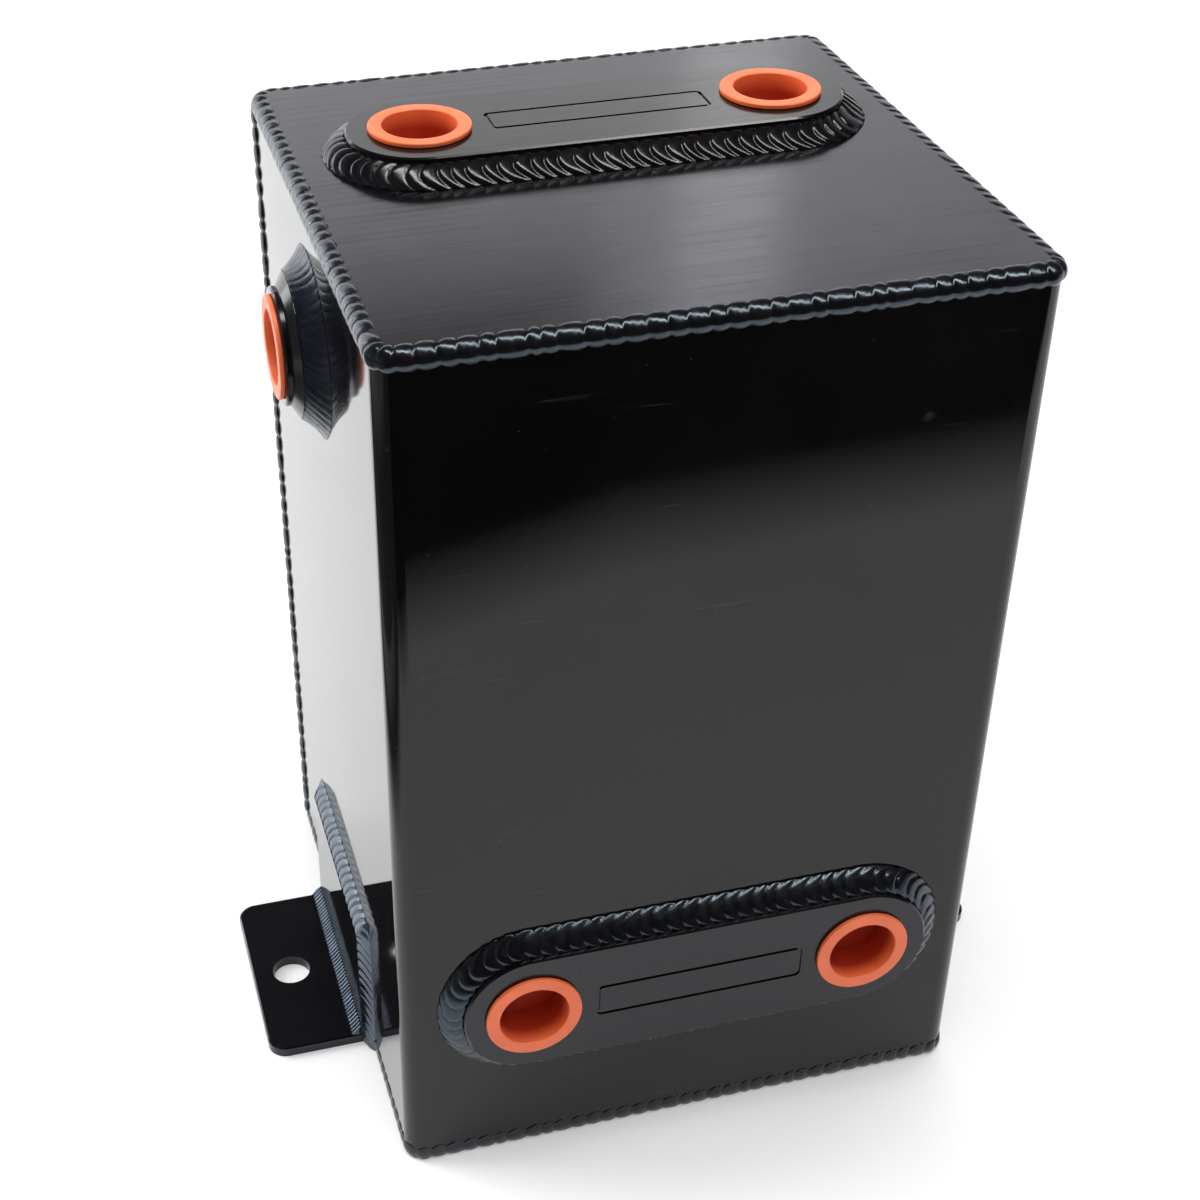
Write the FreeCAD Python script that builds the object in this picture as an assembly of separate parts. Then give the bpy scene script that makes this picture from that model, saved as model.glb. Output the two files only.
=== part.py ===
import FreeCAD, Part
import math
import os

# Hydraulic reservoir: a welded box of 3 mm aluminium sheet. One sheet is folded into the front
# and both sides, a back panel and two end plates close it, and every seam carries a weld bead.
# Two round-ended port plates and one round boss hold five threaded oil ports, each closed by a
# push-in plastic plug. Each side stands on a foot with one bolt hole.
#
# Frame: X to the right, Y to the back, Z up, millimetres. The origin is the centre of the
# bottom plate's underside, which is level with the undersides of the feet.

Vector = FreeCAD.Vector
X_AXIS, Y_AXIS, Z_AXIS = Vector(1, 0, 0), Vector(0, 1, 0), Vector(0, 0, 1)
LEFT, RIGHT = -1, 1

# ---- driving dimensions -------------------------------------------------------------------

TANK_WIDTH = 150.0
TANK_DEPTH = 145.0
TANK_HEIGHT = 236.0
SHEET = 3.0
FOLD_RADIUS = 5.0            # outside radius of the two folded front corners
EDGE_STEP = SHEET / 2        # how far a closing plate stops short of the outside face

PORT_PITCH = 86.5            # between the two ports of a port plate
PORT_PLATE_RADIUS = 17.5     # half the width of a port plate, and the radius of its ends
PORT_PLATE_PROUD = 5.7       # its height above the sheet
PORT_DEPTH = 20.0            # port face to the inner end of its spigot
TOP_PORTS_Y = 22.5
FRONT_PORTS_Z = 52.0
SIDE_PORT_Z = 202.0

THREAD_RADIUS = 10.2         # 7/8-14 UN thread, drawn as its minor diameter
LEAD_RADIUS = 10.45          # the opened-out first turns, where a plug sits
LEAD_DEPTH = 11.0
SEAT_RADIUS = 11.4           # mouth of the O-ring seat
SEAT_ROOT_RADIUS = 10.7
SEAT_DEPTH = 2.4
SPIGOT_RADIUS = 13.5         # the part of a port that passes through the sheet
SPIGOT_CLEARANCE = 0.2
EDGE_BREAK = 0.4

LABEL_LENGTH = 54.0          # blank label pocket between the two ports
LABEL_WIDTH = 10.0
LABEL_CORNER = 1.5
LABEL_DEPTH = 0.4
LABEL_RIM = 0.9              # width of the groove that frames the label

BUNG_RADIUS = 17.2
BUNG_SHOULDER = 5.3          # height of the welded base of the side boss
BUNG_NECK_RADIUS = 13.9
BUNG_NECK_START = 7.2
BUNG_PROUD = 8.6

CAP_FLANGE_RADIUS = 12.2
CAP_FLANGE = 1.2
CAP_PLUG_RADIUS = LEAD_RADIUS - 0.07
CAP_PLUG_LENGTH = 10.6
CAP_NOSE_RADIUS = 10.0
CAP_NOSE_LENGTH = 0.6
CAP_RECESS_RADIUS = 8.85
CAP_RECESS_END_RADIUS = 8.4
CAP_RECESS_DEPTH = 10.4      # from the flange's face
CAP_ROUND = 0.35

FOOT_OUTER_X = 103.2         # tank centre to the foot's outer edge
FOOT_LENGTH = 59.0
FOOT_CENTRE_Y = 2.0
FOOT_SHEET = 3.0
FOOT_CORNER = 5.0
FOOT_HOLE_X = 92.3
FOOT_HOLE_RADIUS = 5.25
UPRIGHT_HEIGHT = 40.0

BAFFLE_Y = -20.0             # front face of the baffle
BAFFLE_SHEET = 2.0
BAFFLE_TOP_Z = 188.0
BAFFLE_HOLE_RADIUS = 9.0
BAFFLE_HOLE_ROWS = (24.0, 62.0)
BAFFLE_HOLE_COLUMNS = (-48.0, -16.0, 16.0, 48.0)
TACK_LENGTH = 12.0
TACK_LEG = 3.0
TACK_HEIGHTS = (30.0, 80.0, 130.0, 176.0)

TUBE_RADIUS = 12.0
TUBE_WALL = 1.5
TUBE_END_Z = 34.0            # lowest point of the mitred end
TUBE_BEAD = 1.5

SEAM_TOP_REACH = 3.2         # bead inboard of the edge, on the end plate
SEAM_SIDE_REACH = 5.0        # bead down the side faces
SEAM_ROUND = 3.0             # radius of the bead's face
CORNER_REACH = 4.0           # the upright corner beads at the back, on both faces
FLOOR_SEAM_BULGE = 0.8
FLOOR_SEAM_HEIGHT = 5.0
FLOOR_SEAM_START = 0.3
PORT_BEAD_LEG = 5.8
PORT_BEAD_HEIGHT = 4.6
PORT_BEAD_BULGE = 0.6
BUNG_BEAD_LEG = 5.7
BUNG_BEAD_HOLLOW = 0.6       # this bead's face is slightly hollow
UPRIGHT_BEAD_LEG = 5.0
FOOT_BEAD_LEG = 2.8

# ---- derived sizes ------------------------------------------------------------------------

HALF_WIDTH = TANK_WIDTH / 2
HALF_DEPTH = TANK_DEPTH / 2
WALL_TOP_Z = TANK_HEIGHT - SHEET
BACK_INNER_Y = HALF_DEPTH - SHEET
PORT_INNER_DEPTH = PORT_DEPTH - PORT_PLATE_PROUD
UPRIGHT_FACE_X = HALF_WIDTH + FOOT_SHEET
FOOT_FRONT_Y = FOOT_CENTRE_Y - FOOT_LENGTH / 2
FOOT_BACK_Y = FOOT_CENTRE_Y + FOOT_LENGTH / 2


# ---- shape helpers ------------------------------------------------------------------------

def box(x0, x1, y0, y1, z0, z1):
    return Part.makeBox(x1 - x0, y1 - y0, z1 - z0, Vector(x0, y0, z0))


def rod(radius, z0, z1, x=0.0, y=0.0):
    return Part.makeCylinder(radius, z1 - z0, Vector(x, y, z0), Z_AXIS)


def cone(radius0, radius1, z0, z1, x=0.0, y=0.0):
    return Part.makeCone(radius0, radius1, z1 - z0, Vector(x, y, z0), Z_AXIS)


def round_upright_edges(shape, radius, wanted):
    """Rounds the straight vertical edges whose middle satisfies wanted(point)."""
    edges = []
    for edge in shape.Edges:
        start, end = edge.Vertexes[0].Point, edge.Vertexes[-1].Point
        upright = abs(start.x - end.x) < 1e-6 and abs(start.y - end.y) < 1e-6
        if upright and wanted((start + end) / 2):
            edges.append(edge)
    return shape.makeFillet(radius, edges)


def rounded_slab(width, depth, radius, z0, z1, y=0.0):
    """A flat block centred on the Z axis, or on y, with all four upright edges rounded."""
    slab = box(-width / 2, width / 2, y - depth / 2, y + depth / 2, z0, z1)
    return round_upright_edges(slab, radius, lambda point: True)


def obround(pitch, radius, z0, z1):
    """A round-ended bar along X."""
    bar = box(-pitch / 2, pitch / 2, -radius, radius, z0, z1)
    for x in (-pitch / 2, pitch / 2):
        bar = bar.fuse(rod(radius, z0, z1, x))
    return bar.removeSplitter()


def break_edges(shape, size, wanted):
    """Chamfers every edge lying wholly in a plane of constant Z that wanted(z) accepts."""
    edges = []
    for edge in shape.Edges:
        bounds = edge.BoundBox
        if bounds.ZLength < 1e-6 and wanted(bounds.ZMin):
            edges.append(edge)
    return shape.makeChamfer(size, edges)


def arc_wire_face(points, arc_middles):
    """A face from corner points. arc_middles maps a side's number to a point its arc passes."""
    sides = []
    for i, start in enumerate(points):
        end = points[(i + 1) % len(points)]
        if i in arc_middles:
            sides.append(Part.Arc(start, arc_middles[i], end).toShape())
        else:
            sides.append(Part.LineSegment(start, end).toShape())
    return Part.Face(Part.Wire(sides))


def arc_crown(start, end, radius):
    """The middle of the arc of this radius from start to end that bows to the left of the chord."""
    chord = (end[0] - start[0], end[1] - start[1])
    length = math.hypot(*chord)
    middle = ((start[0] + end[0]) / 2, (start[1] + end[1]) / 2)
    normal = (-chord[1] / length, chord[0] / length)
    to_centre = math.sqrt(radius ** 2 - length ** 2 / 4)
    return middle[0] + normal[0] * (radius + to_centre), middle[1] + normal[1] * (radius + to_centre)


def on_side(shape, side):
    """The left-hand shape, or its mirror image for the right-hand side."""
    return shape if side == LEFT else shape.mirror(Vector(0, 0, 0), X_AXIS)


# Each port and what belongs to it is drawn with the port's face outward along +Z and the
# sheet's outer surface at Z = 0. These turn and move such a shape to its place.

def to_top(shape):
    moved = shape.copy()
    moved.translate(Vector(0, TOP_PORTS_Y, TANK_HEIGHT))
    return moved


def to_front(shape):
    moved = shape.copy()
    moved.rotate(Vector(0, 0, 0), X_AXIS, 90)
    moved.translate(Vector(0, -HALF_DEPTH, FRONT_PORTS_Z))
    return moved


def to_left_side(shape):
    moved = shape.copy()
    moved.rotate(Vector(0, 0, 0), Y_AXIS, -90)
    moved.translate(Vector(-HALF_WIDTH, 0, SIDE_PORT_Z))
    return moved


# ---- sheets -------------------------------------------------------------------------------

def port_holes(xs):
    """Cutters for the holes that the spigots pass through."""
    radius = SPIGOT_RADIUS + SPIGOT_CLEARANCE
    return [rod(radius, -2 * SHEET, SHEET, x) for x in xs]


def body_wrap():
    """The folded sheet: front and both sides, standing between the end plates."""
    front = -HALF_DEPTH
    outside = box(-HALF_WIDTH, HALF_WIDTH, front, BACK_INNER_Y, SHEET, WALL_TOP_Z)
    outside = round_upright_edges(outside, FOLD_RADIUS, lambda p: p.y < 0)
    inside = box(-HALF_WIDTH + SHEET, HALF_WIDTH - SHEET, front + SHEET, HALF_DEPTH,
                 0, TANK_HEIGHT)
    inside = round_upright_edges(inside, FOLD_RADIUS - SHEET, lambda p: p.y < 0)
    sheet = outside.cut(inside)
    for hole in port_holes((-PORT_PITCH / 2, PORT_PITCH / 2)):
        sheet = sheet.cut(to_front(hole))
    for hole in port_holes((0,)):
        sheet = sheet.cut(to_left_side(hole))
    return sheet


def back_panel():
    half = HALF_WIDTH - EDGE_STEP
    return box(-half, half, BACK_INNER_Y, HALF_DEPTH, SHEET, WALL_TOP_Z)


def end_plate(z0):
    return rounded_slab(TANK_WIDTH - 2 * EDGE_STEP, TANK_DEPTH - 2 * EDGE_STEP,
                        FOLD_RADIUS - EDGE_STEP, z0, z0 + SHEET)


def top_plate():
    plate = end_plate(WALL_TOP_Z)
    for hole in port_holes((-PORT_PITCH / 2, PORT_PITCH / 2)):
        plate = plate.cut(to_top(hole))
    return plate


def bottom_plate():
    return end_plate(0)


# ---- ports --------------------------------------------------------------------------------

def port_bore(face_z, x=0.0):
    """The O-ring seat and the thread of one port, as a cutter open at both ends."""
    margin = 1.0
    flare = (SEAT_RADIUS - SEAT_ROOT_RADIUS) / SEAT_DEPTH * margin
    seat = cone(SEAT_ROOT_RADIUS, SEAT_RADIUS + flare, face_z - SEAT_DEPTH, face_z + margin, x)
    lead = rod(LEAD_RADIUS, face_z - LEAD_DEPTH, face_z, x)
    thread = rod(THREAD_RADIUS, face_z - PORT_DEPTH - margin, face_z, x)
    return seat.fuse(lead).fuse(thread)


def label_pocket():
    """A blank framed label: a shallow pocket with a raised panel inside it."""
    top, floor = PORT_PLATE_PROUD + 1, PORT_PLATE_PROUD - LABEL_DEPTH
    pocket = rounded_slab(LABEL_LENGTH, LABEL_WIDTH, LABEL_CORNER, floor, top)
    panel = rounded_slab(LABEL_LENGTH - 2 * LABEL_RIM, LABEL_WIDTH - 2 * LABEL_RIM,
                         LABEL_CORNER - LABEL_RIM, floor, top)
    return pocket.cut(panel)


def port_plate():
    plate = obround(PORT_PITCH, PORT_PLATE_RADIUS, 0, PORT_PLATE_PROUD)
    plate = break_edges(plate, EDGE_BREAK, lambda z: z > PORT_PLATE_PROUD / 2)
    for x in (-PORT_PITCH / 2, PORT_PITCH / 2):
        plate = plate.fuse(rod(SPIGOT_RADIUS, -PORT_INNER_DEPTH, 0, x))
    for x in (-PORT_PITCH / 2, PORT_PITCH / 2):
        plate = plate.cut(port_bore(PORT_PLATE_PROUD, x))
    return plate.cut(label_pocket())


def bung():
    body = rod(BUNG_RADIUS, 0, BUNG_SHOULDER)
    body = body.fuse(cone(BUNG_RADIUS, BUNG_NECK_RADIUS, BUNG_SHOULDER, BUNG_NECK_START))
    neck = rod(BUNG_NECK_RADIUS, BUNG_NECK_START, BUNG_PROUD)
    body = body.fuse(break_edges(neck, EDGE_BREAK, lambda z: z > BUNG_NECK_START + EDGE_BREAK))
    body = body.fuse(rod(SPIGOT_RADIUS, BUNG_PROUD - PORT_DEPTH, 0))
    return body.cut(port_bore(BUNG_PROUD))


def port_plug(face_z, x=0.0):
    """A push-in plug: a thin flange on the port's face and a closed cup down the bore."""
    nose_z = face_z - CAP_PLUG_LENGTH
    shank_z = nose_z + CAP_NOSE_LENGTH
    cup = rod(CAP_PLUG_RADIUS, shank_z, face_z, x)
    cup = cup.fuse(cone(CAP_NOSE_RADIUS, CAP_PLUG_RADIUS, nose_z, shank_z, x))
    flange = rod(CAP_FLANGE_RADIUS, face_z, face_z + CAP_FLANGE, x)
    rim = [edge for edge in flange.Edges if edge.BoundBox.ZLength < 1e-6]
    flange = flange.makeFillet(CAP_ROUND, rim)
    floor_z = face_z + CAP_FLANGE - CAP_RECESS_DEPTH
    recess = cone(CAP_RECESS_END_RADIUS, CAP_RECESS_RADIUS, floor_z, face_z + CAP_FLANGE, x)
    plug = cup.fuse(flange).cut(recess)
    mouth = [edge for edge in plug.Edges
             if edge.BoundBox.ZLength < 1e-6
             and abs(edge.BoundBox.ZMin - face_z - CAP_FLANGE) < 1e-6
             and edge.BoundBox.XLength < 2 * CAP_RECESS_RADIUS + 0.1]
    return plug.makeFillet(CAP_ROUND, mouth)


# ---- feet ---------------------------------------------------------------------------------

def foot_plate(side):
    inner, outer = UPRIGHT_FACE_X, FOOT_OUTER_X
    plate = box(-outer, -inner, FOOT_FRONT_Y, FOOT_BACK_Y, 0, FOOT_SHEET)
    middle_x = -(inner + outer) / 2
    plate = round_upright_edges(plate, FOOT_CORNER, lambda p: p.x < middle_x)
    plate = break_edges(plate, EDGE_BREAK, lambda z: z > FOOT_SHEET / 2)
    plate = plate.cut(rod(FOOT_HOLE_RADIUS, -1, FOOT_SHEET + 1, -FOOT_HOLE_X, FOOT_CENTRE_Y))
    return on_side(plate, side)


def upright(side):
    plate = box(-UPRIGHT_FACE_X, -HALF_WIDTH, FOOT_FRONT_Y, FOOT_BACK_Y, 0, UPRIGHT_HEIGHT)
    return on_side(plate, side)


# ---- inside -------------------------------------------------------------------------------

def baffle_plate():
    half = HALF_WIDTH - SHEET
    plate = box(-half, half, BAFFLE_Y, BAFFLE_Y + BAFFLE_SHEET, SHEET, BAFFLE_TOP_Z)
    for z in BAFFLE_HOLE_ROWS:
        for x in BAFFLE_HOLE_COLUMNS:
            start = Vector(x, BAFFLE_Y - 1, z)
            plate = plate.cut(Part.makeCylinder(BAFFLE_HOLE_RADIUS, BAFFLE_SHEET + 2, start, Y_AXIS))
    return plate


def return_tube():
    """A mitred tube from the right-hand top port down towards the bottom plate."""
    x, y = PORT_PITCH / 2, TOP_PORTS_Y
    top = TANK_HEIGHT + PORT_PLATE_PROUD - PORT_DEPTH
    tube = rod(TUBE_RADIUS, TUBE_END_Z, top, x, y)
    tube = tube.cut(rod(TUBE_RADIUS - TUBE_WALL, TUBE_END_Z - 1, top + 1, x, y))
    reach = 4 * TUBE_RADIUS
    mitre = box(-reach, reach, -reach, reach, -reach, 0)
    mitre.rotate(Vector(0, 0, 0), X_AXIS, 45)
    mitre.translate(Vector(x, y, TUBE_END_Z + TUBE_RADIUS))
    return tube.cut(mitre)


# ---- weld beads ---------------------------------------------------------------------------

def ring_of_section(section_at, corner_radius, z_sections_start):
    """Carries a section round the tank's outline: straight runs joined by quarter turns.

    section_at(origin, outward) gives the section's face with its zero at origin and its first
    axis along outward.
    """
    x, y = HALF_WIDTH - corner_radius, HALF_DEPTH - corner_radius
    z = z_sections_start
    corners = [(x, -y), (x, y), (-x, y), (-x, -y)]
    outwards = [X_AXIS, Y_AXIS, X_AXIS * -1, Y_AXIS * -1]
    pieces = []
    for i, outward in enumerate(outwards):
        start, end = corners[i], corners[(i + 1) % 4]
        centre = Vector(start[0], start[1], z)
        run = Vector(end[0] - start[0], end[1] - start[1], 0)
        section = section_at(centre + outward * corner_radius, outward)
        pieces.append(section.extrude(run))
        before = outwards[i - 1]
        turn = section_at(centre + before * corner_radius, before)
        pieces.append(turn.revolve(centre, Z_AXIS, 90))
    ring = pieces[0]
    for piece in pieces[1:]:
        ring = ring.fuse(piece)
    return ring.removeSplitter()


def section_in_plane(points, crown_side, crown):
    """A function placing a section of (outward, up) points at an origin."""
    def at(origin, outward):
        placed = [origin + outward * u + Z_AXIS * v for u, v in points]
        middle = origin + outward * crown[0] + Z_AXIS * crown[1]
        return arc_wire_face(placed, {crown_side: middle})
    return at


def top_seam_ring():
    toe, heel = (0, -SEAM_SIDE_REACH), (-SEAM_TOP_REACH, 0)
    points = [heel, (-EDGE_STEP, 0), (-EDGE_STEP, -SHEET), (0, -SHEET), toe]
    crown = arc_crown(heel, toe, SEAM_ROUND)
    return ring_of_section(section_in_plane(points, 4, crown), FOLD_RADIUS, TANK_HEIGHT)


def bottom_seam_ring():
    points = [(-EDGE_STEP, 0), (-FLOOR_SEAM_START, 0), (0, FLOOR_SEAM_HEIGHT), (0, SHEET),
              (-EDGE_STEP, SHEET)]
    crown = (FLOOR_SEAM_BULGE, FLOOR_SEAM_HEIGHT * 0.4)
    return ring_of_section(section_in_plane(points, 1, crown), FOLD_RADIUS, 0)


def back_corner_bead(side):
    """The upright bead where the back panel meets a side sheet."""
    x, y = -HALF_WIDTH, HALF_DEPTH
    points = [(x, y - CORNER_REACH), (x, y - SHEET), (x + EDGE_STEP, y - SHEET),
              (x + EDGE_STEP, y), (x + CORNER_REACH, y)]
    crown = arc_crown(points[0], points[-1], SEAM_ROUND)
    placed = [Vector(px, py, SHEET) for px, py in points]
    face = arc_wire_face(placed, {len(points) - 1: Vector(crown[0], crown[1], SHEET)})
    return on_side(face.extrude(Z_AXIS * (WALL_TOP_Z - SHEET)), side)


def fillet_section(corner, leg, height, bulge):
    """A fillet section in the XZ plane, with its inside corner at corner. Bulge domes its face."""
    toe, top = corner + X_AXIS * leg, corner + Z_AXIS * height
    outward = Vector(height, 0, leg).normalize()
    crown = (toe + top) / 2 + outward * bulge
    return arc_wire_face([corner, toe, top], {1: crown})


def port_plate_bead():
    """The fillet bead round a port plate: two half turns and two straight runs."""
    centre = Vector(PORT_PITCH / 2, 0, 0)
    section = fillet_section(centre + X_AXIS * PORT_PLATE_RADIUS, PORT_BEAD_LEG,
                             PORT_BEAD_HEIGHT, PORT_BEAD_BULGE)
    section.rotate(centre, Z_AXIS, -90)
    half_turn = section.revolve(centre, Z_AXIS, 180)
    straight = section.extrude(X_AXIS * -PORT_PITCH)
    half = half_turn.fuse(straight)
    other = half.copy()
    other.rotate(Vector(0, 0, 0), Z_AXIS, 180)
    return half.fuse(other).removeSplitter()


def bung_bead():
    section = fillet_section(X_AXIS * BUNG_RADIUS, BUNG_BEAD_LEG, BUNG_SHOULDER, -BUNG_BEAD_HOLLOW)
    return section.revolve(Vector(0, 0, 0), Z_AXIS, 360)


def upright_bead(side):
    """The bead over the top and down both ends of an upright."""
    leg = UPRIGHT_BEAD_LEG
    wide = [(FOOT_FRONT_Y - leg, 0), (FOOT_BACK_Y + leg, 0),
            (FOOT_BACK_Y + leg, UPRIGHT_HEIGHT + leg), (FOOT_FRONT_Y - leg, UPRIGHT_HEIGHT + leg)]
    narrow = [(FOOT_FRONT_Y, 0), (FOOT_BACK_Y, 0),
              (FOOT_BACK_Y, UPRIGHT_HEIGHT), (FOOT_FRONT_Y, UPRIGHT_HEIGHT)]
    outlines = []
    for x, corners in ((-HALF_WIDTH, wide), (-UPRIGHT_FACE_X, narrow)):
        points = [Vector(x, y, z) for y, z in corners]
        outlines.append(Part.makePolygon(points + points[:1]))
    heap = Part.makeLoft(outlines, True, True)
    return on_side(heap.cut(upright(LEFT)), side)


def foot_bead(side):
    """The bead in the inside corner between an upright and its foot plate."""
    corner_x, leg = -UPRIGHT_FACE_X, FOOT_BEAD_LEG
    points = [Vector(corner_x, FOOT_FRONT_Y, FOOT_SHEET),
              Vector(corner_x, FOOT_FRONT_Y, FOOT_SHEET + leg),
              Vector(corner_x - leg, FOOT_FRONT_Y, FOOT_SHEET)]
    return on_side(arc_wire_face(points, {}).extrude(Y_AXIS * FOOT_LENGTH), side)


def baffle_tacks():
    """Short fillet beads up both edges of the baffle, on its back face."""
    inner, back = HALF_WIDTH - SHEET, BAFFLE_Y + BAFFLE_SHEET
    tacks = []
    for side in (LEFT, RIGHT):
        for z in TACK_HEIGHTS:
            points = [Vector(-inner, back, z), Vector(-inner + TACK_LEG, back, z),
                      Vector(-inner, back + TACK_LEG, z)]
            tack = arc_wire_face(points, {}).extrude(Z_AXIS * TACK_LENGTH)
            tacks.append(on_side(tack, side))
    return Part.makeCompound(tacks)


def return_tube_bead():
    """A ring bead where the tube meets the end of its port's spigot."""
    x, y = PORT_PITCH / 2, TOP_PORTS_Y
    top = TANK_HEIGHT + PORT_PLATE_PROUD - PORT_DEPTH
    ring = cone(TUBE_RADIUS, TUBE_RADIUS + TUBE_BEAD, top - TUBE_BEAD, top, x, y)
    return ring.cut(rod(TUBE_RADIUS, top - 2 * TUBE_BEAD, top, x, y))


# ---- assembly -----------------------------------------------------------------------------

def all_nodes():
    pitch = PORT_PITCH / 2
    wrap, back, top, bottom = body_wrap(), back_panel(), top_plate(), bottom_plate()
    nodes = {"body_wrap": wrap, "back_panel": back, "top_plate": top, "bottom_plate": bottom}

    nodes["top_port_plate"] = to_top(port_plate())
    nodes["front_port_plate"] = to_front(port_plate())
    nodes["side_port_bung"] = to_left_side(bung())
    nodes["cap_top_left"] = to_top(port_plug(PORT_PLATE_PROUD, -pitch))
    nodes["cap_top_right"] = to_top(port_plug(PORT_PLATE_PROUD, pitch))
    nodes["cap_front_left"] = to_front(port_plug(PORT_PLATE_PROUD, -pitch))
    nodes["cap_front_right"] = to_front(port_plug(PORT_PLATE_PROUD, pitch))
    nodes["cap_side"] = to_left_side(port_plug(BUNG_PROUD))

    for name, side in (("left", LEFT), ("right", RIGHT)):
        nodes[name + "_foot_plate"] = foot_plate(side)
        nodes[name + "_upright"] = upright(side)
        nodes["weld_" + name + "_upright"] = upright_bead(side)
        nodes["weld_" + name + "_foot"] = foot_bead(side)
        nodes["weld_back_" + name] = back_corner_bead(side)

    top_seam, bottom_seam = top_seam_ring(), bottom_seam_ring()
    for name in ("body_wrap", "back_panel", "top_plate", "weld_back_left", "weld_back_right"):
        top_seam = top_seam.cut(nodes[name])
    for name in ("body_wrap", "back_panel", "bottom_plate", "weld_back_left", "weld_back_right",
                 "left_upright", "right_upright", "weld_left_upright", "weld_right_upright"):
        bottom_seam = bottom_seam.cut(nodes[name])
    nodes["weld_top_seam"] = top_seam
    nodes["weld_bottom_seam"] = bottom_seam
    nodes["weld_top_port"] = to_top(port_plate_bead())
    nodes["weld_front_port"] = to_front(port_plate_bead())
    nodes["weld_side_port"] = to_left_side(bung_bead())

    nodes["baffle_plate"] = baffle_plate()
    nodes["weld_baffle"] = baffle_tacks()
    nodes["return_tube"] = return_tube()
    nodes["weld_return_tube"] = return_tube_bead()
    return nodes


def main():
    os.makedirs("parts", exist_ok=True)
    for name, shape in all_nodes().items():
        shape.exportStep("parts/" + name + ".step")
        print(f"{name:20s} solids {len(shape.Solids):2d}  valid {shape.isValid()}  "
              f"volume {shape.Volume / 1000:9.3f} cm3")


main()
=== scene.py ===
import math

import bmesh
import bpy
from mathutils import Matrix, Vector, noise


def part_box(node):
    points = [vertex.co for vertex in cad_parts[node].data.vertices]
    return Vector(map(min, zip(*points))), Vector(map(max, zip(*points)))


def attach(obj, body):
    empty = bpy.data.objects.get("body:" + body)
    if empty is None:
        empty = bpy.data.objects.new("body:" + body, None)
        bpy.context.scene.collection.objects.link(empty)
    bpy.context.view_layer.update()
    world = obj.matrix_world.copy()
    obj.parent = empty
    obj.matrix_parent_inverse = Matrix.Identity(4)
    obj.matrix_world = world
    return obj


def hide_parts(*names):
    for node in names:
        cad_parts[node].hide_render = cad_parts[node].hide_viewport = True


# A black coated, welded aluminium oil tank. The CAD sheets, port plates and plugs are shown as
# they are with new materials. Every outer weld bead is replaced by one with its ripples modelled.
# The tank's lengths are in millimetres, and MM turns them into the scene's metres. The studio,
# from "floor, light and camera" on, is in metres.

MM = 0.001
X, Y, Z = Vector((1, 0, 0)), Vector((0, 1, 0)), Vector((0, 0, 1))

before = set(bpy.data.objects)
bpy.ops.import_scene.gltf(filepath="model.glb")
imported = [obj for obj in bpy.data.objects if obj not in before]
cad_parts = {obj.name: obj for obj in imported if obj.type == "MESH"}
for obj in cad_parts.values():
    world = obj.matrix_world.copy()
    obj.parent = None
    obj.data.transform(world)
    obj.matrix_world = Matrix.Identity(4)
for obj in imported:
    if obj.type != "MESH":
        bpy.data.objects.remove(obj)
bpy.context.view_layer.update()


def box_mm(node):
    low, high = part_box(node)
    return low / MM, high / MM


# ---- sizes taken from the CAD nodes --------------------------------------------------------

HALF_WIDTH = box_mm("body_wrap")[1].x
HALF_DEPTH = box_mm("back_panel")[1].y
TANK_TOP = box_mm("top_plate")[1].z
TOP_PLATE_LOW, TOP_PLATE_HIGH = box_mm("top_port_plate")
FRONT_PLATE_LOW, FRONT_PLATE_HIGH = box_mm("front_port_plate")
BUNG_LOW, BUNG_HIGH = box_mm("side_port_bung")
UPRIGHT_LOW, UPRIGHT_HIGH = box_mm("left_upright")
FOOT_TOP = box_mm("left_foot_plate")[1].z
BACK_SEAM_LOW, BACK_SEAM_HIGH = box_mm("weld_back_left")

SHEET = 3.0
EDGE_STEP = 1.5              # how far a closing plate stops short of the outside face
FOLD_RADIUS = 5.0
PLATE_RADIUS = (TOP_PLATE_HIGH.y - TOP_PLATE_LOW.y) / 2
PORT_PITCH = TOP_PLATE_HIGH.x - TOP_PLATE_LOW.x - 2 * PLATE_RADIUS
BUNG_RADIUS = (BUNG_HIGH.z - BUNG_LOW.z) / 2
BUNG_SHOULDER = 5.3


def new_object(name, vertices, faces):
    mesh = bpy.data.meshes.new(name)
    mesh.from_pydata(vertices, [], faces)
    obj = bpy.data.objects.new(name, mesh)
    bpy.context.scene.collection.objects.link(obj)
    return obj


# ---- weld beads ----------------------------------------------------------------------------

SEAM_STEP = 0.38             # between the stations of a corner seam
FILLET_STEP = 0.3            # ... of the fillets round the ports
UPRIGHT_STEP = 0.35
FOOT_STEP = 0.16
SINK = 0.05                  # how far a fillet's hidden faces go into the metal
LOOP_WANDER = 40.0           # a closed bead's length over its circle's radius in the noise
RUN_WANDER = 6.0             # an open bead's length to one unit of the noise
FINE_RATIO = 3               # fine ripples to each main one
FINE_SHARPNESS = 2.0
SCALLOP_SHARPNESS = 1.6
FILLET_ROOT = [Vector((-SINK, -SINK))]


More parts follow.
